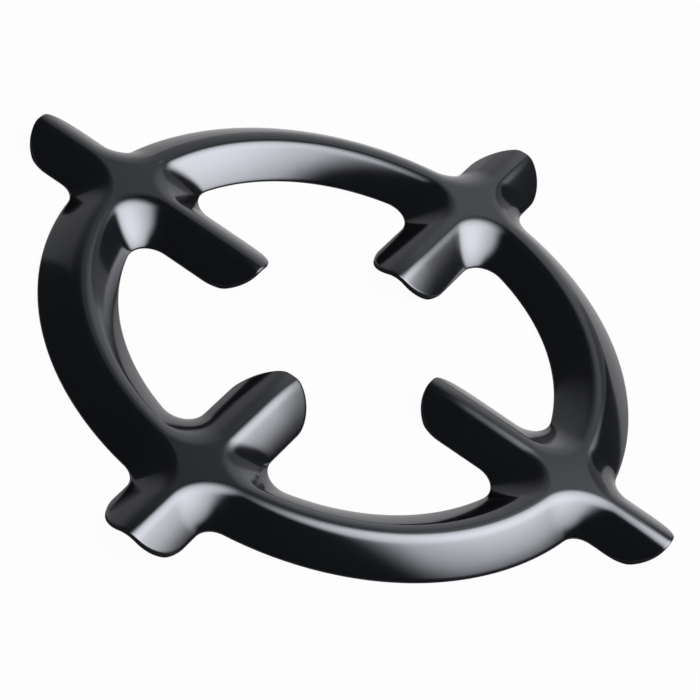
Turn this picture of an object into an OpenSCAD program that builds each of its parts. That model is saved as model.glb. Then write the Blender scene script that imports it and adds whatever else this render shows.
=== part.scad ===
// Stove reducer ring, pressed from one sheet of enamelled steel.
// A round ring and its arms share one roof-shaped section and run into each other.
// The arms cross the ring: each has a short outer end and a longer inner end.
// The part stands on its cut rim at z = 0, with its axis along Z through the origin.

/* [Plan] */
// Distance across the tips of two opposite arms
span = 140; // [136:1:146]
// Diameter of the ring, measured along its ridge
ring_d = 97; // [94:0.5:99]
// Diameter of the free circle between the inner tips
free_d = 37.2; // [32:0.2:42]
// Number of arms
arms = 4; // [3:1:5]

/* [Section] */
// Width of the pressed band, alike in ring and arms
band_w = 14.6; // [13.4:0.2:15.6]
// Height of the ridge over the surface that the rim stands on
ridge_h = 4.8; // [4.2:0.1:5.6]
// Radius over the ridge
ridge_r = 4; // [3:0.1:5]
// Radius over each flank, which bulges a little
flank_r = 45; // [24:1:60]
// Width of the level line that runs along the ridge
ridge_line = 0.4; // [0.3:0.05:0.8]
// Thickness of the sheet with its enamel
sheet_t = 1; // [0.8:0.05:1.2]
// Height of the upright edge at the rim
rim_h = 0.5; // [0.3:0.05:0.7]

/* [Crossings] */
// Corner radius of the rim between an arm and the inside of the ring
inner_corner_r = 4.5; // [3:0.1:6]
// Corner radius of the rim between an arm and the outside of the ring
outer_corner_r = 3.8; // [2.5:0.1:5]
// Radius that an inner corner gains on its way up from the rim to the ridge
inner_growth = 2.4; // [0:0.1:3]
// Radius that an outer corner gains on its way up from the rim to the ridge
outer_growth = 6; // [3:0.1:7]

/* [Tips] */
// Corner radius of the inner tips, seen from above
inner_tip_r = 6.2; // [3:0.1:6.6]
// Corner radius of the outer tips, seen from above
outer_tip_r = 6.4; // [3:0.1:6.6]
// How far the end of a tip bows out between its corners
tip_bow = 1.1; // [0.2:0.1:1.6]
// How far the ridge sinks at the inner tips
inner_tip_drop = 0.4; // [0:0.1:1]
// How far the ridge sinks at the outer tips
outer_tip_drop = 0.2; // [0:0.1:1]
// Length over which a ridge sinks towards its tip
tip_run = 14; // [6:0.5:16]

/* [Hidden] */

INNER = 0;
OUTER = 1;
// Direction from the middle of the band to its rim, along a radius of the ring
SIGN = [-1, 1];

ring_r = ring_d / 2;
sector_half = 180 / arms;
tip_reach = [free_d / 2, span / 2];
corner_r = [inner_corner_r, outer_corner_r];
growth = [inner_growth, outer_growth];
tip_drop = [inner_tip_drop, outer_tip_drop];

// Half section: it runs from the edge of the ridge line down to the rim, as an arc over
// the ridge and a wider arc over the flank. The flank arc touches the ridge arc and ends
// on the rim, so a triangle of the ridge centre, the flank centre and the rim gives the
// bend, which is the slope where one arc passes into the other.
line_half = ridge_line / 2;
half_run = band_w / 2 - line_half;
ridge_centre = [0, ridge_h - ridge_r];
to_rim = [half_run, rim_h] - ridge_centre;
apart = flank_r - ridge_r;
rim_angle = acos(
    (to_rim * to_rim + apart * apart - flank_r * flank_r) / (2 * norm(to_rim) * apart)
);
bend = atan2(to_rim.x, to_rim.y) + rim_angle - 180;
flank_centre = ridge_centre - apart * [sin(bend), cos(bend)];
// Width of the level foot that the cut rim stands on
foot_w = half_run - flank_centre.x
    - sqrt(pow(flank_r - sheet_t, 2) - pow(flank_centre.y, 2));
tip_r = [min(inner_tip_r, half_run), min(outer_tip_r, half_run)];

// Steps of the mesh: over the ridge, down the flank, along a tip, corner and ring
RIDGE_STEPS = 3;
FLANK_STEPS = 4;
TIP_STEPS = 3;
CORNER_STEPS = 6;
RING_STEPS = 6;

// Distance of each skin's lines from the ridge line, closer together near the rim
function bend_run(depth) = (ridge_r - depth) * sin(bend);
function skin_lines(depth, run) = concat(
    [for (i = [0 : RIDGE_STEPS]) (ridge_r - depth) * sin(bend * i / RIDGE_STEPS)],
    [for (i = [1 : FLANK_STEPS])
        bend_run(depth) + (run - bend_run(depth)) * sin(90 * i / FLANK_STEPS)]
);
top_lines = skin_lines(0, half_run);
under_lines = skin_lines(sheet_t, half_run - foot_w);
TOP = len(top_lines);

// Rows of one half section: top skin, foot at the rim, then the underside back up
ROWS = 2 * TOP + 1;
function row_run(i) = i < TOP ? top_lines[i] : i == TOP ? half_run : under_lines[ROWS - 1 - i];

// Height of a skin that lies at a depth below the top, at a distance from the ridge line
function skin_z(run, depth) =
    run < bend_run(depth)
        ? ridge_centre.y + sqrt(pow(ridge_r - depth, 2) - run * run)
        : flank_centre.y + sqrt(pow(flank_r - depth, 2) - pow(run - flank_centre.x, 2));

// Height of a row, where the ridge has sunk by a share of its rise
function row_z(i, sink) =
    let (run = row_run(i), shift = sink * (skin_z(run, 0) - rim_h))
    i < TOP ? skin_z(run, 0) - shift
    : i <= TOP + 1 ? 0
    : max(0, skin_z(run, sheet_t) - shift);

// Corner between arm and ring: its radius, its centre and the ray that it ends on
function corner_radius(side, run) =
    corner_r[side] + growth[side] * (1 - pow(run / half_run, 2));
function corner_centre(side, run) =
    let (
        r = corner_radius(side, run),
        y = line_half + run + r,
        reach = ring_r + SIGN[side] * (line_half + run + r)
    )
    [sqrt(reach * reach - y * y), y];
function corner_ray(side, run) =
    let (c = corner_centre(side, run))
    atan2(c.y, c.x);

// Where a line of the arm ends at the tip, which has round corners and a bowed end
function tip_x(side, run) =
    let (
        inset = half_run - run,
        r = tip_r[side],
        round_off = inset < r ? r - sqrt(r * r - pow(r - inset, 2)) : 0,
        bow_off = tip_bow * pow(run / half_run, 2)
    )
    tip_reach[side] - SIGN[side] * (round_off + bow_off);

// Points along one line of the half arm: tip, corner, then ring to the middle of the bay
CORNER_START = TIP_STEPS + 1;
CORNER_END = CORNER_START + CORNER_STEPS;
HALF = CORNER_END + RING_STEPS + 1;

// Share of the tip's run that a step has covered, shorter near the end
function tip_share(step) = pow(step / TIP_STEPS, 1.5);
function tip_point(side, run, step) =
    let (
        start = tip_x(side, run),
        free = abs(corner_centre(side, run).x - start),
        length = min(tip_run, 0.8 * free)
    )
    [start - SIGN[side] * length * tip_share(step), line_half + run];
function corner_point(side, run, step) =
    let (
        ray = corner_ray(side, run),
        last = side == INNER ? ray : ray - 180,
        turn = -90 + (last + 90) * step / CORNER_STEPS
    )
    corner_centre(side, run) + corner_radius(side, run) * [cos(turn), sin(turn)];
function ring_point(side, run, step) =
    let (
        ray = corner_ray(side, run),
        turn = ray + (sector_half - ray) * step / RING_STEPS
    )
    (ring_r + SIGN[side] * (line_half + run)) * [cos(turn), sin(turn)];
function plan_point(side, run, j) =
    j < CORNER_START ? tip_point(side, run, j)
    : j <= CORNER_END ? corner_point(side, run, j - CORNER_START)
    : ring_point(side, run, j - CORNER_END);

function space_point(side, i, j) =
    let (
        p = plan_point(side, row_run(i), j),
        sink = j < CORNER_START ? pow(1 - tip_share(j), 2) : 0
    )
    [p.x, p.y, row_z(i, sink * tip_drop[side] / (ridge_h - rim_h))];

function turned(p, angle) =
    [p.x * cos(angle) - p.y * sin(angle), p.x * sin(angle) + p.y * cos(angle), p.z];

// Columns run once around each side of the band. Those of one arm start at the middle
// of the bay before it, go out to its tip, change sides there and come back.
COLUMNS = 2 * HALF - 1;
LOOP = arms * COLUMNS;
function column_points(side, k) =
    let (
        c = k % COLUMNS,
        j = c < HALF ? HALF - 1 - c : c - HALF,
        flip = c < HALF ? -1 : 1,
        angle = 360 * floor(k / COLUMNS) / arms
    )
    [for (i = [0 : ROWS - 1])
        let (p = space_point(side, i, j))
        turned([p.x, flip * p.y, p.z], angle)];
function at(side, k, i) = (side * LOOP + k % LOOP) * ROWS + i;
function left(arm, j) = arm * COLUMNS + HALF + j;
function right(arm, j) = arm * COLUMNS + HALF - 1 - j;

// Middle of each crossing, on top and underneath
function centre(arm, under) = 2 * LOOP * ROWS + 2 * arm + under;
crossing_points = [for (arm = [0 : arms - 1], z = [ridge_h, ridge_h - sheet_t])
    turned([ring_r, 0, z], 360 * arm / arms)];

points = concat(
    [for (side = [INNER, OUTER], k = [0 : LOOP - 1]) each column_points(side, k)],
    crossing_points
);

// Two triangles of a quad, turned round where the quad faces the other way
function quad(a, b, c, d, flip) = flip ? [[a, c, b], [a, d, c]] : [[a, b, c], [a, c, d]];

// Both skins and the rim, as a grid of rows and columns that is open at the tips
skin_faces = [for (side = [INNER, OUTER], k = [0 : LOOP - 1])
    if (k % COLUMNS != HALF - 1)
        for (i = [0 : ROWS - 2])
            each quad(
                at(side, k, i), at(side, k + 1, i),
                at(side, k + 1, i + 1), at(side, k, i + 1),
                side == INNER
            )];

// Cut end of the sheet at each tip
tip_faces = [for (side = [INNER, OUTER], arm = [0 : arms - 1])
    let (
        l = left(arm, 0),
        r = right(arm, 0),
        last = ROWS - 1,
        flip = side == INNER
    )
    each concat(
        quad(at(side, r, 0), at(side, l, 0), at(side, l, last), at(side, r, last), flip),
        [for (s = [[l, flip], [r, !flip]], i = [0 : TOP - 2])
            each quad(
                at(side, s[0], i), at(side, s[0], i + 1),
                at(side, s[0], last - i - 1), at(side, s[0], last - i),
                s[1]
            )],
        [for (s = [[l, flip], [r, !flip]])
            let (rim = at(side, s[0], TOP - 1))
            s[1] ? [rim, rim + 2, rim + 1] : [rim, rim + 1, rim + 2]]
    )];

// Level line along the ridge of the arms and of the ring, and the level crossing between
function ridge_loop(arm, row) = concat(
    [for (j = [CORNER_START : CORNER_END]) at(OUTER, left(arm, j), row)],
    [for (j = [CORNER_END : -1 : CORNER_START]) at(INNER, left(arm, j), row)],
    [for (j = [CORNER_START : CORNER_END]) at(INNER, right(arm, j), row)],
    [for (j = [CORNER_END : -1 : CORNER_START]) at(OUTER, right(arm, j), row)]
);
ridge_faces = [for (arm = [0 : arms - 1], under = [0, 1])
    let (
        row = under * (ROWS - 1),
        below = under == 1,
        edge = ridge_loop(arm, row)
    )
    each concat(
        [for (side = [INNER, OUTER], j = [0 : CORNER_START - 1])
            each quad(
                at(side, right(arm, j), row), at(side, right(arm, j + 1), row),
                at(side, left(arm, j + 1), row), at(side, left(arm, j), row),
                (side == INNER) != below
            )],
        [for (first = [left(arm, CORNER_END), right(arm, HALF - 1)], s = [0 : RING_STEPS - 1])
            let (k = first + s)
            each quad(
                at(INNER, k, row), at(INNER, k + 1, row),
                at(OUTER, k + 1, row), at(OUTER, k, row),
                below
            )],
        [for (n = [0 : len(edge) - 1])
            let (a = edge[n], b = edge[(n + 1) % len(edge)])
            below ? [centre(arm, under), a, b] : [centre(arm, under), b, a]]
    )];

module reducer_ring() {
    color([0.07, 0.07, 0.08])
        polyhedron(points = points, faces = concat(skin_faces, tip_faces, ridge_faces), convexity = 8);
}

reducer_ring();
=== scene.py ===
# %% [markdown]
# # A stove reducer ring in black enamel
# A reducer ring lies on the pan support of a gas hob, so that a small pot stands safely over
# a small burner. It is pressed from one sheet of steel, 1 mm thick, and dipped in black
# glass enamel. A round ring and four arms share one roof-shaped section, and the arms cross
# the ring. This lesson models the sheet, fires the enamel on it and lights it as in a studio.
#
# The measured model comes first. It gives the size and the place of the ring, and the piece
# that is modelled here takes its place in the picture.

# %% Load the measured model
import math

import bmesh
import bpy
from mathutils import Matrix, Vector


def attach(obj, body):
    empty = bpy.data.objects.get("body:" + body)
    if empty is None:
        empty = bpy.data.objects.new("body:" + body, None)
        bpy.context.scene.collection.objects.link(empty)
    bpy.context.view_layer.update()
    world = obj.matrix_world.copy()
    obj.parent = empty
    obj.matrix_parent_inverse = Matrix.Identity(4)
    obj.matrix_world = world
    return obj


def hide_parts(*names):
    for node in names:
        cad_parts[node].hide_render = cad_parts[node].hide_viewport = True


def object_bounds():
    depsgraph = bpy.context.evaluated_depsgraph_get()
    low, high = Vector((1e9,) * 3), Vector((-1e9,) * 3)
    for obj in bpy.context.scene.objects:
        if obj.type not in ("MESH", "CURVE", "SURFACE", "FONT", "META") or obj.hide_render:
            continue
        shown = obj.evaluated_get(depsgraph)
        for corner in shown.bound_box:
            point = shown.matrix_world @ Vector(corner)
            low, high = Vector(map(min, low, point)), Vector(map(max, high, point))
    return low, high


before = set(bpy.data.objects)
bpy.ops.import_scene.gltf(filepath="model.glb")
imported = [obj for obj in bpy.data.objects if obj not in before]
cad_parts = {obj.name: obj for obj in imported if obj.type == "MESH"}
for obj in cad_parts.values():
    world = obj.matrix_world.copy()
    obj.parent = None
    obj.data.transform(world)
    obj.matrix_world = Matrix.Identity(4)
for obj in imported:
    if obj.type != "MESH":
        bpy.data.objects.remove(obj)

cad_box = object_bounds()
print("measured model:", [round(1000 * c, 2) for corner in cad_box for c in corner], "mm")

# %% [markdown]
# ## The camera
# The ring is seen from 42 degrees above the table, and the camera is rolled, so that the
# ring lies slantwise in the picture. A long lens far away keeps near and far arms almost
# equally large. The camera looks at a point beside the middle, because the ring doesn't sit
# exactly in the middle of the picture.

# %% Set up the camera
CAMERA_ELEVATION = math.radians(42.37)
CAMERA_AZIMUTH = math.radians(15.92)
CAMERA_ROLL = math.radians(23.24)
CAMERA_DISTANCE = 0.4902
FOCAL_PIXELS = 2704.06
PICTURE = 700
SENSOR_WIDTH = 36
RING_PIXEL = Vector((340.31, 338.71))
LOOK_AT = Vector((0, 0, 0.00055))

back = Vector((
    math.sin(CAMERA_AZIMUTH) * math.cos(CAMERA_ELEVATION),
    -math.cos(CAMERA_AZIMUTH) * math.cos(CAMERA_ELEVATION),
    math.sin(CAMERA_ELEVATION),
))
right = Vector((math.cos(CAMERA_AZIMUTH), math.sin(CAMERA_AZIMUTH), 0))
rolled_right = Matrix.Rotation(CAMERA_ROLL, 3, back) @ right
rolled_up = back.cross(rolled_right)
offset = (Vector((PICTURE / 2, PICTURE / 2)) - RING_PIXEL) * CAMERA_DISTANCE / FOCAL_PIXELS
eye = LOOK_AT + back * CAMERA_DISTANCE
aim = LOOK_AT + rolled_right * offset.x - rolled_up * offset.y
facing = (eye - aim).normalized()
side = rolled_up.cross(facing).normalized()
axes = Matrix((side, facing.cross(side), facing)).transposed()

camera = bpy.data.objects.new("camera", bpy.data.cameras.new("camera"))
camera.matrix_world = Matrix.Translation(eye) @ axes.to_4x4()
camera.data.sensor_width = SENSOR_WIDTH
camera.data.lens = SENSOR_WIDTH * FOCAL_PIXELS / PICTURE
camera.data.clip_start = 0.01
bpy.context.scene.collection.objects.link(camera)
bpy.context.scene.camera = camera
print(f"camera: lens {camera.data.lens:.1f} mm, {eye.length:.3f} m from the ring")

# %% [markdown]
# ## The section
# Cut across anywhere, the band is a roof: a round ridge, two flanks that bulge a little and a
# cut edge that stands upright on the table. Two dies press it. The upper die gives the top
# skin, the lower die the underside, and the sheet between them stays equally thick. Each die
# is a function from the distance to the ridge to a height, in millimetres. It joins two arcs:
# a tight one over the ridge and a wide one over the flank. The flank bulges by only 0.15 mm,
# but on glossy black it shows: a straight one would mirror the softbox from ridge to rim.

# %% Define the two dies
MM = 0.001
SPAN = round((cad_box[1].x - cad_box[0].x) / MM, 3)
RIDGE_H = round((cad_box[1].z - cad_box[0].z) / MM, 3)
BAND_W = 14.6
RIDGE_R = 4.0
FLANK_R = 33.0
LINE_HALF = 0.2
SHEET = 1.0
RIM_H = 0.5

HALF_W = BAND_W / 2
HALF_RUN = HALF_W - LINE_HALF
RISE = RIDGE_H - RIM_H
APART = FLANK_R - RIDGE_R
ridge_centre = Vector((0, RIDGE_H - RIDGE_R))
to_rim = Vector((HALF_RUN, RIM_H)) - ridge_centre
rim_angle = math.acos((to_rim.length_squared + APART ** 2 - FLANK_R ** 2) / (2 * to_rim.length * APART))
BEND = math.atan2(to_rim.x, to_rim.y) + rim_angle - math.pi
flank_centre = ridge_centre - APART * Vector((math.sin(BEND), math.cos(BEND)))
FOOT_LINE = LINE_HALF + flank_centre.x + math.sqrt((FLANK_R - SHEET) ** 2 - flank_centre.y ** 2)


def bend_run(depth):
    """Distance from the ridge line at which the ridge arc passes into the flank arc."""
    return (RIDGE_R - depth) * math.sin(BEND)


def die_height(distance, depth=0.0):
    """Height of a skin at a depth below the top skin, at a distance from the ridge."""
    run = max(distance - LINE_HALF, 0)
    if run < bend_run(depth):
        return ridge_centre.y + math.sqrt((RIDGE_R - depth) ** 2 - run ** 2)
    return flank_centre.y + math.sqrt((FLANK_R - depth) ** 2 - (run - flank_centre.x) ** 2)


print(f"slope {math.degrees(BEND):.1f} degrees at the bend, foot from {FOOT_LINE:.2f} mm to {HALF_W} mm")

# %% [markdown]
# ## The layout seen from above
# The pressed blank has one pattern that comes back eight times: from the tip of an arm along
# its side, round the corner and along the ring to the middle of the bay. Every line of the
# pattern keeps its own distance from the ridge. In the corner it is an arc that touches the
# side of the arm and the circle of the ring. The arcs grow wider towards the ridge, so that
# the valley between arm and ring opens there. At the tip, the lines fan out from one point on
# the ridge to the rounded end, and the ridge sinks a little over the last millimetres.

# %% Lay out the pattern
RING_R = 48.5
FREE_R = 18.6
INNER, OUTER = 0, 1
SIGN = (-1, 1)
REACH = (FREE_R, SPAN / 2)
CORNER_R = (4.5, 3.8)
CORNER_GROWTH = (2.5, 5.9)
CORNER_FADE = 2.7
TIP_R = (6.2, 6.4)
TIP_BOW = 1.3
TIP_DROP = (0.25, 0.1)
TIP_RUN = 9.0
TIP_COLUMNS, ARM_COLUMNS, CORNER_COLUMNS, RING_COLUMNS = 16, 8, 18, 26


def corner(side, distance):
    """Centre and radius of the corner arc of a line, and the ray on which it ends."""
    run = max(distance - LINE_HALF, 0)
    radius = CORNER_R[side] + CORNER_GROWTH[side] * (1 - (run / HALF_RUN) ** CORNER_FADE)
    reach = RING_R + SIGN[side] * (distance + radius)
    centre = Vector((math.sqrt(reach ** 2 - (distance + radius) ** 2), distance + radius))
    return centre, radius, math.atan2(centre.y, centre.x)


# %% Fan out the lines at a tip


def end_setback(side, distance):
    """How far the cut end lies behind the tip, at a distance from the ridge."""
    run = max(distance - LINE_HALF, 0)
    inset = HALF_RUN - run
    radius = TIP_R[side]
    rounding = radius - math.sqrt(radius ** 2 - (radius - inset) ** 2) if inset < radius else 0
    return rounding + TIP_BOW * (run / HALF_RUN) ** 2


def tip_point(side, distance, share):
    """Point of the fan at the tip: share 0 lies on the ridge, share 1 where the side starts."""
    radius = TIP_R[side]
    first = 1 / TIP_COLUMNS
    if share <= first:
        edge = (HALF_W - radius) * share / first
    else:
        edge = HALF_W - radius + radius * math.sin(math.pi / 2 * (share - first) / (1 - first))
    fan = distance / HALF_W
    length = radius + TIP_BOW - end_setback(side, edge)
    return Vector((REACH[side] - SIGN[side] * (radius + TIP_BOW - fan * length), fan * edge))


# %% Walk along the pattern


def pattern_point(side, distance, column):
    """Place of a point of the pattern, seen from above."""
    if column <= TIP_COLUMNS:
        return tip_point(side, distance, column / TIP_COLUMNS)
    column -= TIP_COLUMNS
    centre, radius, ray = corner(side, distance)
    if column <= ARM_COLUMNS:
        start = REACH[side] - SIGN[side] * (TIP_R[side] + TIP_BOW)
        return Vector((start + (centre.x - start) * column / ARM_COLUMNS, distance))
    column -= ARM_COLUMNS
    if column <= CORNER_COLUMNS:
        last = ray if side == INNER else ray - math.pi
        turn = -math.pi / 2 + (last + math.pi / 2) * column / CORNER_COLUMNS
        return centre + radius * Vector((math.cos(turn), math.sin(turn)))
    turn = ray + (math.pi / 4 - ray) * (column - CORNER_COLUMNS) / RING_COLUMNS
    return (RING_R + SIGN[side] * distance) * Vector((math.cos(turn), math.sin(turn)))


def ridge_drop(side, point):
    """Share of its rise by which an arm has sunk at a point near its tip."""
    distance = min(abs(point.y), HALF_W)
    end = REACH[side] - SIGN[side] * end_setback(side, distance)
    share = max(1 - abs(point.x - end) / TIP_RUN, 0)
    return TIP_DROP[side] / RISE * share ** 2


# %% List the lines of the pattern by their distance from the ridge
UNDER_BEND = LINE_HALF + bend_run(SHEET)
TOP_BEND = LINE_HALF + bend_run(0)
LEVEL_EDGE = 0.06
RIDGE_LINES, FLANK_LINES = 7, 9
LINES = [
    0, LINE_HALF + LEVEL_EDGE,
    *[LINE_HALF + bend_run(SHEET) * i / RIDGE_LINES for i in range(1, RIDGE_LINES)],
    UNDER_BEND, (UNDER_BEND + TOP_BEND) / 2, TOP_BEND,
    *[TOP_BEND + (FOOT_LINE - TOP_BEND) * i / FLANK_LINES for i in range(1, FLANK_LINES)],
    FOOT_LINE, (FOOT_LINE + HALF_W) / 2, HALF_W,
]
print("lines at", [round(x, 2) for x in LINES], "mm from the ridge")

# %% [markdown]
# ## Press the blank
# In the workshop, a flat blank goes between two dies. Here a flat grid is the blank for one
# half side of an arm. Its points move to the pattern and up to the height of the upper die.
# A mirror, the second side and three quarter turns make the whole top skin from it, because
# the real die has the same symmetry. Each point remembers its distance from the ridge, so
# that the lower die can find it later.

# %% Press one half side, then repeat it
COLUMNS = TIP_COLUMNS + ARM_COLUMNS + CORNER_COLUMNS + RING_COLUMNS
SKIN_SEAM = 0.004


def press_half_side(bm, side, distance_layer, drop_layer):
    grid = bmesh.ops.create_grid(bm, x_segments=COLUMNS, y_segments=len(LINES) - 1, size=1)
    for vert in grid["verts"]:
        column = round((vert.co.x + 1) / 2 * COLUMNS)
        line = round((vert.co.y + 1) / 2 * (len(LINES) - 1))
        distance = LINES[line]
        if line == 0 and column > TIP_COLUMNS + ARM_COLUMNS:
            corner_share = (column - TIP_COLUMNS - ARM_COLUMNS) / CORNER_COLUMNS
            distance = LINE_HALF * min(corner_share, 1)
        place = pattern_point(side, distance, column)
        on_arm = column <= TIP_COLUMNS + ARM_COLUMNS
        vert[distance_layer] = abs(place.y) if on_arm else distance
        vert[drop_layer] = ridge_drop(side, place) if on_arm else 0
        top = die_height(vert[distance_layer])
        vert.co = (place.x, place.y, top - vert[drop_layer] * (top - RIM_H))


ring = bmesh.new()
distance_layer = ring.verts.layers.float.new("distance")
drop_layer = ring.verts.layers.float.new("drop")
for side_of_ring in (INNER, OUTER):
    press_half_side(ring, side_of_ring, distance_layer, drop_layer)
bmesh.ops.mirror(ring, geom=ring.verts[:] + ring.edges[:] + ring.faces[:], axis="Y", merge_dist=1e-5)
bmesh.ops.spin(
    ring, geom=ring.verts[:] + ring.edges[:] + ring.faces[:], axis=(0, 0, 1), cent=(0, 0, 0),
    angle=math.radians(270), steps=3, use_duplicate=True,
)
bmesh.ops.remove_doubles(ring, verts=ring.verts, dist=SKIN_SEAM)
print(f"top skin without its ridge line: {len(ring.faces)} faces")

# %% [markdown]
# ## Close the ridge
# Inner and outer side don't meet yet: a level line, 0.4 mm wide, is missing along the ridge
# of the ring, and a small level field in the middle of each crossing. The line is bridged
# bay by bay, and the fields are filled and split from their middle. The dies are level
# there, so flat faces are right.

# %% Bridge the ridge line and fill the crossings


def on_ridge(edge):
    return edge.is_boundary and all(v[distance_layer] < LINE_HALF + 0.001 for v in edge.verts)


def on_ring_line(edge):
    return all(abs(abs(v.co.xy.length - RING_R) - LINE_HALF) < 1e-4 for v in edge.verts)


def quarter(edge):
    middle = (edge.verts[0].co + edge.verts[1].co) / 2
    return math.floor(math.atan2(middle.y, middle.x) / (math.pi / 2))


LEVEL = 1
open_ridge = [edge for edge in ring.edges if on_ridge(edge)]
ring_line = [edge for edge in open_ridge if on_ring_line(edge)]
for bay in sorted({quarter(edge) for edge in ring_line}):
    bmesh.ops.bridge_loops(ring, edges=[edge for edge in ring_line if quarter(edge) == bay])
crossings = bmesh.ops.holes_fill(ring, edges=[edge for edge in ring.edges if on_ridge(edge)])
middles = bmesh.ops.poke(ring, faces=crossings["faces"])
for face in middles["faces"]:
    face.material_index = LEVEL
print(f"{len(crossings['faces'])} crossings filled, {len(ring.faces)} faces on the top skin")

# %% [markdown]
# ## The underside and the cut edge
# The underside is a copy of the top skin, pressed down by the lower die. Where that would
# go under the table, the sheet stands on it instead: that level strip is the foot of the
# rim. The cut edge of the sheet is drawn down from the border of the top skin until it meets
# the border of the underside. Doubles are merged before the normals are made to agree.

# %% Add the underside and the cut edge
FOOT_BLEND = 0.25
SHEET_SEAM = 0.002


def under_height(vert):
    """Height of the underside, rounded where it turns into the level foot."""
    top = die_height(vert[distance_layer])
    height = die_height(vert[distance_layer], SHEET) - vert[drop_layer] * (top - RIM_H)
    if height > FOOT_BLEND:
        return height
    return (max(height + FOOT_BLEND, 0)) ** 2 / (4 * FOOT_BLEND)


border = [edge for edge in ring.edges if edge.is_boundary]
copied = bmesh.ops.duplicate(ring, geom=ring.verts[:] + ring.edges[:] + ring.faces[:])
drawn = bmesh.ops.extrude_edge_only(ring, edges=border)
for item in copied["geom"] + drawn["geom"]:
    if isinstance(item, bmesh.types.BMVert):
        item.co.z = under_height(item)
bmesh.ops.remove_doubles(ring, verts=ring.verts, dist=SHEET_SEAM)
bmesh.ops.recalc_face_normals(ring, faces=ring.faces)
open_edges = sum(1 for edge in ring.edges if not edge.is_manifold)
print(f"closed sheet: {len(ring.faces)} faces, {open_edges} open edges")

# %% [markdown]
# ## Round the cut edge
# Molten enamel pulls back from a sharp corner and leaves it round. A bevel on both corners
# of the cut edge does the same. The upper one is small and catches the thin line of light
# that runs around the tips. The lower one is more than twice as big and lifts the edge off
# the table, so that it looks thin. The bevels are made one after the other, because each
# finds its corner by the direction of the faces beside it.

# %% Bevel both corners of the cut edge
TOP_BEAD, FOOT_BEAD = 0.14, 0.32
BEAD_STEPS = 4
UPRIGHT = 0.02


def is_corner(edge, facing):
    """Does the edge join the upright cut face and a skin that faces up (1) or down (-1)?"""
    tilts = sorted(facing * face.normal.z for face in edge.link_faces)
    return len(tilts) == 2 and abs(tilts[0]) < UPRIGHT < tilts[1]


for facing, bead in ((1, TOP_BEAD), (-1, FOOT_BEAD)):
    ring.normal_update()
    corners = [edge for edge in ring.edges if is_corner(edge, facing)]
    bmesh.ops.bevel(
        ring, geom=corners, offset=bead, offset_type="OFFSET", segments=BEAD_STEPS, profile=0.5,
        affect="EDGES", material=-1, loop_slide=True,
    )
    print(f"{len(corners)} corner edges beveled, {len(ring.faces)} faces")
print(f"volume {ring.calc_volume():.0f} mm3")

# %% [markdown]
# ## Make an object of it
# The sheet was worked in millimetres, the unit of a workshop drawing, and the scene counts in
# metres. So the mesh is scaled once, as its last step, and the object itself stays unscaled at
# the origin. All faces are shaded smooth apart from the level ones in the crossings, which
# were marked with a material number. The object then takes the place of the measured model.

# %% Finish the mesh of the ring
bmesh.ops.scale(ring, vec=(MM, MM, MM), verts=ring.verts)
for face in ring.faces:
    face.smooth = face.material_index != LEVEL
    face.material_index = 0
mesh = bpy.data.meshes.new("enamelled_ring")
ring.to_mesh(mesh)
ring.free()
enamelled_ring = bpy.data.objects.new("enamelled_ring", mesh)
bpy.context.scene.collection.objects.link(enamelled_ring)
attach(enamelled_ring, "root")
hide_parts("reducer_ring")
low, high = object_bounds()
print("modelled ring:", [round(1000 * c, 2) for corner in (low, high) for c in corner], "mm")

# %% [markdown]
# ## A small kit for finishes
# A finish is a tree of shader nodes. Two small classes keep it readable: `Value` wraps an
# output socket and turns +, -, * and ** into Math nodes, and `Finish` adds any other node in
# one call, with its settings first and its inputs after that.

# %% Define the helpers


class Value:
    """An output socket on which sums can be done."""

    def __init__(self, finish, socket):
        self.finish, self.socket = finish, socket

    def maths(self, operation, *inputs):
        return self.finish.add("Math", {"operation": operation}, dict(enumerate(inputs)))

    def __add__(self, other):
        return self.maths("ADD", self, other)

    def __sub__(self, other):
        return self.maths("SUBTRACT", self, other)

    def __rsub__(self, other):
        return self.maths("SUBTRACT", other, self)

    def __mul__(self, other):
        return self.maths("MULTIPLY", self, other)

    def __pow__(self, other):
        return self.maths("POWER", self, other)

    def __rpow__(self, other):
        return self.maths("POWER", other, self)

    __radd__, __rmul__ = __add__, __mul__


class Finish:
    """A material or a world, to which nodes are added one call at a time."""

    def __init__(self, owner):
        owner.use_nodes = True
        self.tree = owner.node_tree
        self.tree.nodes.clear()

    def add(self, kind, settings=None, inputs=None, output=0):
        node = self.tree.nodes.new("ShaderNode" + kind)
        for name, value in (settings or {}).items():
            setattr(node, name, value)
        # A Mix node has several inputs of one name, and only their identifiers differ
        sockets = {s.identifier: s for s in node.inputs}
        for name, value in (inputs or {}).items():
            socket = node.inputs[name] if isinstance(name, int) else sockets.get(name) or node.inputs[name]
            if isinstance(value, Value):
                self.tree.links.new(value.socket, socket)
            else:
                socket.default_value = value
        return Value(self, node.outputs[output]) if len(node.outputs) else None


def step(finish, value, start, end):
    """A soft step: 0 at the start, 1 at the end."""
    return finish.add(
        "MapRange", {"interpolation_type": "SMOOTHSTEP"},
        {"Value": value, "From Min": start, "From Max": end, "To Min": 0.0, "To Max": 1.0},
    )
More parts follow.
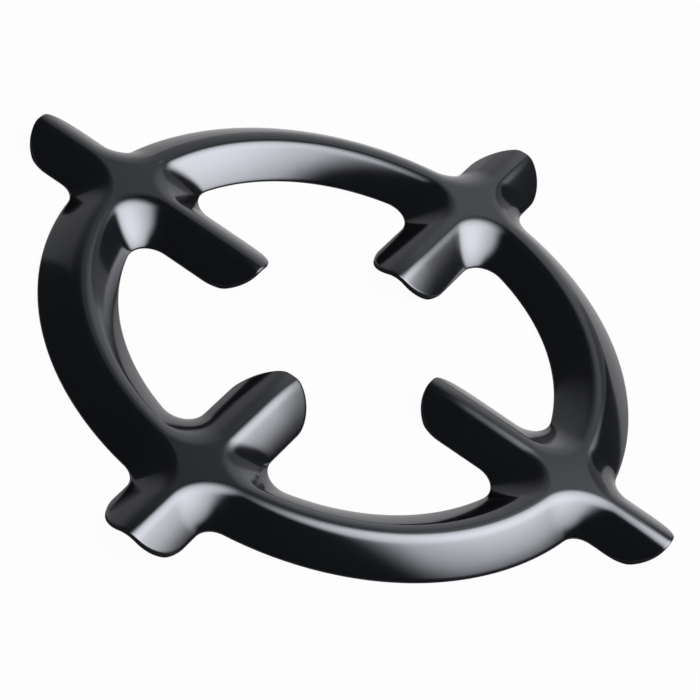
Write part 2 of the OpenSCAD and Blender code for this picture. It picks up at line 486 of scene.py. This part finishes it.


# %% [markdown]
# ## Fire the enamel
# Black enamel is glass. Its own colour is almost black, so what the eye sees is what the
# glass mirrors, with a trace of blue. A bump gives it the flaws of real enamel: long soft
# waves where it ran before it froze, a finer skin like that of an orange, and a few pinholes
# where gas escaped. The roughness drifts a little from place to place, so that the highlights
# are soft and not quite even.
#
# The cut edge gets painted shade. There the glass gives way to matt black, which stands in for the dark
# mirror image of the shadowed floor right beside the edge. The edge is upright, so the upward part of the
# surface direction is near 0 there, and it is far from 0 on the top of the sheet. That part makes the mask.
# The mask reaches far down, to keep a mirrored light line off the foot of the edge, and so it paints the
# steep flanks of the underside matt and dark too.
# How those look on a real ring isn't known here, because they can't be seen from above.

# %% Make the flaws of the enamel
WAVE_DEPTH, PEEL_DEPTH, PINHOLE_DEPTH = 0.35, 0.018, 0.1
BUMP_UNIT = 0.0001
HOLE_EDGE, HOLE_FLOOR = 0.05, 0.02
CELLS_WITHOUT_HOLE = 0.85

enamel_material = bpy.data.materials.new("black_enamel")
enamel = Finish(enamel_material)
on_ring = enamel.add("TexCoord", output="Object")
waves = enamel.add("TexNoise", None, {"Vector": on_ring, "Scale": 90.0, "Detail": 1.0, "Roughness": 0.4})
peel = enamel.add("TexNoise", None, {"Vector": on_ring, "Scale": 700.0, "Detail": 1.5, "Roughness": 0.5})
tone = enamel.add("TexNoise", None, {"Vector": on_ring, "Scale": 45.0, "Detail": 3.0, "Roughness": 0.55})
cell = {"Vector": on_ring, "Scale": 260.0}
to_hole = enamel.add("TexVoronoi", {"feature": "F1"}, cell, output="Distance")
cell_tint = enamel.add("TexVoronoi", {"feature": "F1"}, cell, output="Color")
chance = enamel.add("SeparateColor", None, {"Color": cell_tint})
has_hole = chance.maths("GREATER_THAN", chance, CELLS_WITHOUT_HOLE)
pinholes = step(enamel, to_hole, HOLE_EDGE, HOLE_FLOOR) * has_hole
surface = waves * WAVE_DEPTH + peel * PEEL_DEPTH - pinholes * PINHOLE_DEPTH
bump = enamel.add("Bump", None, {"Height": surface, "Strength": 1.0, "Distance": BUMP_UNIT}, output="Normal")
print(f"flaws: {len(enamel.tree.nodes)} nodes")

# %% Join the glass and the painted shade on the cut edge
EDGE_TOP, EDGE_FOOT = (0.38, 0.12), (-0.95, -0.8)
PAINTED_SHADE_SHARE = 0.8

colour = enamel.add(
    "Mix", {"data_type": "RGBA"},
    {"Factor_Float": tone, "A_Color": (0.0024, 0.0027, 0.0036, 1), "B_Color": (0.0044, 0.0049, 0.0062, 1)},
    output=2,
)
roughness = tone * 0.06 + 0.08
glass = enamel.add("BsdfPrincipled", None, {
    "Base Color": colour, "Roughness": roughness, "IOR": 1.6,
    "Specular Tint": (0.86, 0.90, 1.0, 1), "Normal": bump,
})
outward = enamel.add("TexCoord", output="Normal")
upward = enamel.add("SeparateXYZ", None, {"Vector": outward}, output=2)
# Painted shade: where the surface stands upright, matt black replaces the glass, so the edge no longer
# mirrors the floor.
painted_edge_shade = step(enamel, upward, *EDGE_TOP) * step(enamel, upward, *EDGE_FOOT)
painted_shade_black = enamel.add("BsdfDiffuse", None, {"Color": (0.004, 0.004, 0.005, 1)})
shader = enamel.add("MixShader", None, {0: painted_edge_shade * PAINTED_SHADE_SHARE, 1: glass, 2: painted_shade_black})
enamel.add("OutputMaterial", None, {"Surface": shader})
enamelled_ring.data.materials.append(enamel_material)
print(f"enamel: {len(enamel.tree.nodes)} nodes")

# %% [markdown]
# ## The studio
# Glossy black shows nothing but its surroundings, so the surroundings are the real light.
# They were worked out backwards from what the real ring mirrors: a softbox on the right, a
# wall behind the ring with one bright panel, a white floor, and a dark room for the rest.
#
# Through Light Path, the camera sees floor and wall as almost plain white, with a trace of
# the ring's shadow. The enamel mirrors the floor as it is lit, with the full shadow. The wall
# glows in mirror images alone, by a formula that makes its panel bright and soft at the
# sides, so that it adds no light.

# %% Define the white surfaces
SEEN_WHITE = 0.96


def make_stage(name, mesh_builder, material):
    bm = bmesh.new()
    mesh_builder(bm)
    stage_mesh = bpy.data.meshes.new(name)
    bm.to_mesh(stage_mesh)
    bm.free()
    stage_object = bpy.data.objects.new(name, stage_mesh)
    stage_object.data.materials.append(material)
    bpy.context.scene.collection.objects.link(stage_object)
    return stage_object


def white_material(name, colour, mirrored=None):
    """White paint that looks evenly white to the camera and can glow in the enamel's mirror image."""
    material = bpy.data.materials.new(name)
    white = Finish(material)
    to_camera = white.add("LightPath", output="Is Camera Ray")
    through = white.add("LightPath", output="Is Transmission Ray")
    plain = white.add("BsdfDiffuse", None, {"Color": colour})
    shine = white.add("Emission", None, {"Color": (1, 1, 1, 1), "Strength": 1.0})
    share = (to_camera + through) * SEEN_WHITE
    if mirrored:
        share = share + white.add("LightPath", output="Is Glossy Ray") * mirrored(white)
    mixed = white.add("MixShader", None, {0: share, 1: plain, 2: shine})
    white.add("OutputMaterial", None, {"Surface": mixed})
    return material


# %% Build the floor and the wall
FLOOR_HALF, FLOOR_SINK = 6, 0.00003
WALL_DIRECTION = math.radians(96.5)
WALL_DISTANCE = 1.2
WALL_HEIGHT, WALL_FADE = 1.95, 1.4
WALL_LEFT, WALL_RIGHT = -2.6, 0.39
WALL_DIM, WALL_LIT = 0.44, 1.15
LIT_FROM, LIT_BLUR = -0.45, 0.40
LIT_TO, LIT_LEAN = 0.2, 0.15
LIT_EDGE = 0.05
LIT_HEIGHT, LIT_FADE = 1.75, 1.1
DARK = 0.085


def floor_shape(bm):
    sunk = Matrix.Translation((0, 0, -FLOOR_SINK))
    bmesh.ops.create_grid(bm, x_segments=1, y_segments=1, size=FLOOR_HALF, matrix=sunk)


def wall_shape(bm):
    grid = bmesh.ops.create_grid(bm, x_segments=1, y_segments=1, size=0.5)
    bmesh.ops.scale(bm, vec=(WALL_RIGHT - WALL_LEFT, WALL_HEIGHT, 1), verts=grid["verts"])
    upright = (Matrix.Rotation(WALL_DIRECTION - math.pi / 2, 4, "Z")
               @ Matrix.Translation(((WALL_RIGHT + WALL_LEFT) / 2, WALL_DISTANCE, WALL_HEIGHT / 2))
               @ Matrix.Rotation(math.pi / 2, 4, "X"))
    bmesh.ops.transform(bm, matrix=upright, verts=grid["verts"])


def along_wall(white):
    """Brightness of the wall: one lit panel behind the ring, and a dim rest that fades upwards."""
    place = white.add("TexCoord", output="Object")
    turned = white.add(
        "VectorRotate", {"rotation_type": "Z_AXIS"},
        {"Vector": place, "Angle": math.pi / 2 - WALL_DIRECTION},
    )
    across = white.add("SeparateXYZ", None, {"Vector": turned})
    height = white.add("SeparateXYZ", None, {"Vector": turned}, output=2)
    lit = step(white, across, LIT_FROM - LIT_BLUR, LIT_FROM + LIT_BLUR)
    lit = lit * step(white, across + height * LIT_LEAN, LIT_TO + LIT_EDGE, LIT_TO - LIT_EDGE)
    lit = lit * step(white, height, LIT_HEIGHT, LIT_HEIGHT - LIT_FADE)
    top = step(white, height, WALL_HEIGHT, WALL_HEIGHT - WALL_FADE)
    light = WALL_DIM * top + lit * (WALL_LIT - WALL_DIM)
    return light.maths("MAXIMUM", light, DARK)


make_stage("floor", floor_shape, white_material("floor_white", (0.85, 0.85, 0.86, 1)))
make_stage("wall", wall_shape, white_material("wall_white", (0.02, 0.02, 0.02, 1), along_wall))
print(f"wall: {WALL_RIGHT - WALL_LEFT:.2f} m wide, {WALL_HEIGHT} m high, {WALL_DISTANCE} m behind the ring")

# %% [markdown]
# ## The softbox
# A softbox is a lamp behind a white cloth. The cloth is brightest in front of the lamp and
# fades towards its round border. Its mirror image is the highlight on the enamel, so its
# shape matters more than its light. It could be an area lamp, but that is evenly bright and
# has hard sides. A sheet with a shader can do both: a bell curve makes the bright middle, and
# a soft border passes into clear. Only mirror images show it.

# %% Find the place of the softbox
BOX_AZIMUTH, BOX_ELEVATION = math.radians(39.3), math.radians(57.1)
BOX_DISTANCE = 0.81
BOX_ROW = Vector((1, 0.037, 0))

box_direction = Vector((
    math.cos(BOX_AZIMUTH) * math.cos(BOX_ELEVATION),
    math.sin(BOX_AZIMUTH) * math.cos(BOX_ELEVATION),
    math.sin(BOX_ELEVATION),
))
box_up = box_direction.cross(BOX_ROW).normalized()
box_right = box_up.cross(box_direction)
box_axes = Matrix((box_right, box_up, box_direction)).transposed().to_4x4()
box_place = Matrix.Translation(box_direction * BOX_DISTANCE) @ box_axes
print("softbox at", [round(part, 2) for part in box_place.translation], "m")

# %% Make its cloth glow
BOX_HALF = (0.50, 0.422)
BOX_CENTRE = (0.049, 0.021)
BOX_CORNER = 0.287
BOX_BLUR = 0.13
BOX_STRENGTH = 14.5
CLOTH_COLOUR = (0.98, 0.965, 0.95)
HOT_SPOT = Vector((-0.014, 0.065, 0))
HOT_SIZE = Vector((0.52, 0.50, 1))

glow_material = bpy.data.materials.new("softbox_cloth")
glow_material.cycles.emission_sampling = "NONE"
glow = Finish(glow_material)
on_cloth = glow.add("TexCoord", output="Object")
from_hot = glow.add("VectorMath", {"operation": "SUBTRACT"}, {0: on_cloth, 1: HOT_SPOT})
from_hot = glow.add("VectorMath", {"operation": "DIVIDE"}, {0: from_hot, 1: HOT_SIZE})
spread = glow.add("VectorMath", {"operation": "DOT_PRODUCT"}, {0: from_hot, 1: from_hot}, output="Value")
hot_spot = spread.maths("EXPONENT", spread * -1.0)


def beyond(axis):
    """How far a point lies beyond the start of the round corners, along one axis."""
    place = glow.add("SeparateXYZ", None, {"Vector": on_cloth}, output=axis) - BOX_CENTRE[axis]
    past = place.maths("ABSOLUTE", place) - (BOX_HALF[axis] - BOX_CORNER)
    return past.maths("MAXIMUM", past, 0.0)


to_corner = (beyond(0) ** 2.0 + beyond(1) ** 2.0) ** 0.5
border = step(glow, to_corner, BOX_CORNER + BOX_BLUR, BOX_CORNER - BOX_BLUR)
brightness = hot_spot * BOX_STRENGTH
cloth_light = glow.add("VectorMath", {"operation": "SCALE"}, {0: CLOTH_COLOUR, "Scale": brightness})
light = glow.add("Emission", None, {"Color": cloth_light, "Strength": 1.0})
clear = glow.add("BsdfTransparent")
cloth = glow.add("MixShader", None, {0: border, 1: clear, 2: light})
glow.add("OutputMaterial", None, {"Surface": cloth})
print(f"cloth: {len(glow.tree.nodes)} nodes")

# %% Hang the softbox


def softbox_shape(bm):
    grid = bmesh.ops.create_grid(bm, x_segments=1, y_segments=1, size=0.5)
    size = [2 * (half + BOX_BLUR) for half in BOX_HALF]
    bmesh.ops.scale(bm, vec=(*size, 1), verts=grid["verts"])
    bmesh.ops.translate(bm, vec=(*BOX_CENTRE, 0), verts=grid["verts"])


softbox = make_stage("softbox", softbox_shape, glow_material)
softbox.matrix_world = box_place
softbox.visible_camera = softbox.visible_diffuse = softbox.visible_shadow = False
print(f"softbox: {2 * BOX_HALF[0]:.2f} m by {2 * BOX_HALF[1]:.2f} m")

# %% [markdown]
# ## Light for the floor
# The glowing cloth lights nothing, so an area lamp in its place lights the floor and throws
# the ring's shadow. The lamp is hidden from mirror images, where the cloth already stands.
# The world has three tones, chosen through Light Path: white for the camera, a dark room for
# mirror images, and a weak even light for the rest.

# %% Light the floor and the room
KEY_POWER = 6.8
AMBIENT = 0.15

key = bpy.data.objects.new("key_light", bpy.data.lights.new("key_light", "AREA"))
key.data.shape = "RECTANGLE"
key.data.size, key.data.size_y = 2 * BOX_HALF[0], 2 * BOX_HALF[1]
key.data.energy = KEY_POWER
key.visible_glossy = False
key.matrix_world = box_place
bpy.context.scene.collection.objects.link(key)

studio = bpy.data.worlds.new("studio")
bpy.context.scene.world = studio
room = Finish(studio)
seen = room.add("LightPath", output="Is Camera Ray")
seen_through = room.add("LightPath", output="Is Transmission Ray")
mirrored = room.add("LightPath", output="Is Glossy Ray")
ambient = room.add("Background", None, {"Color": (1, 1, 1, 1), "Strength": AMBIENT})
dark_room = room.add("Background", None, {"Color": (0.9, 0.93, 1, 1), "Strength": DARK})
white_room = room.add("Background", None, {"Color": (1, 1, 1, 1), "Strength": 1.0})
unseen = room.add("MixShader", None, {0: mirrored, 1: ambient, 2: dark_room})
backdrop = room.add("MixShader", None, {0: seen + seen_through, 1: unseen, 2: white_room})
room.add("OutputWorld", None, {"Surface": backdrop})
print(f"key light {key.data.energy:.1f} W, room at {AMBIENT} and {DARK} in mirror images")

# %% [markdown]
# ## The view
# The Standard view shows a colour as it is written, so that white stays white.

# %% Set the view and finish
bpy.context.scene.view_settings.view_transform = "Standard"
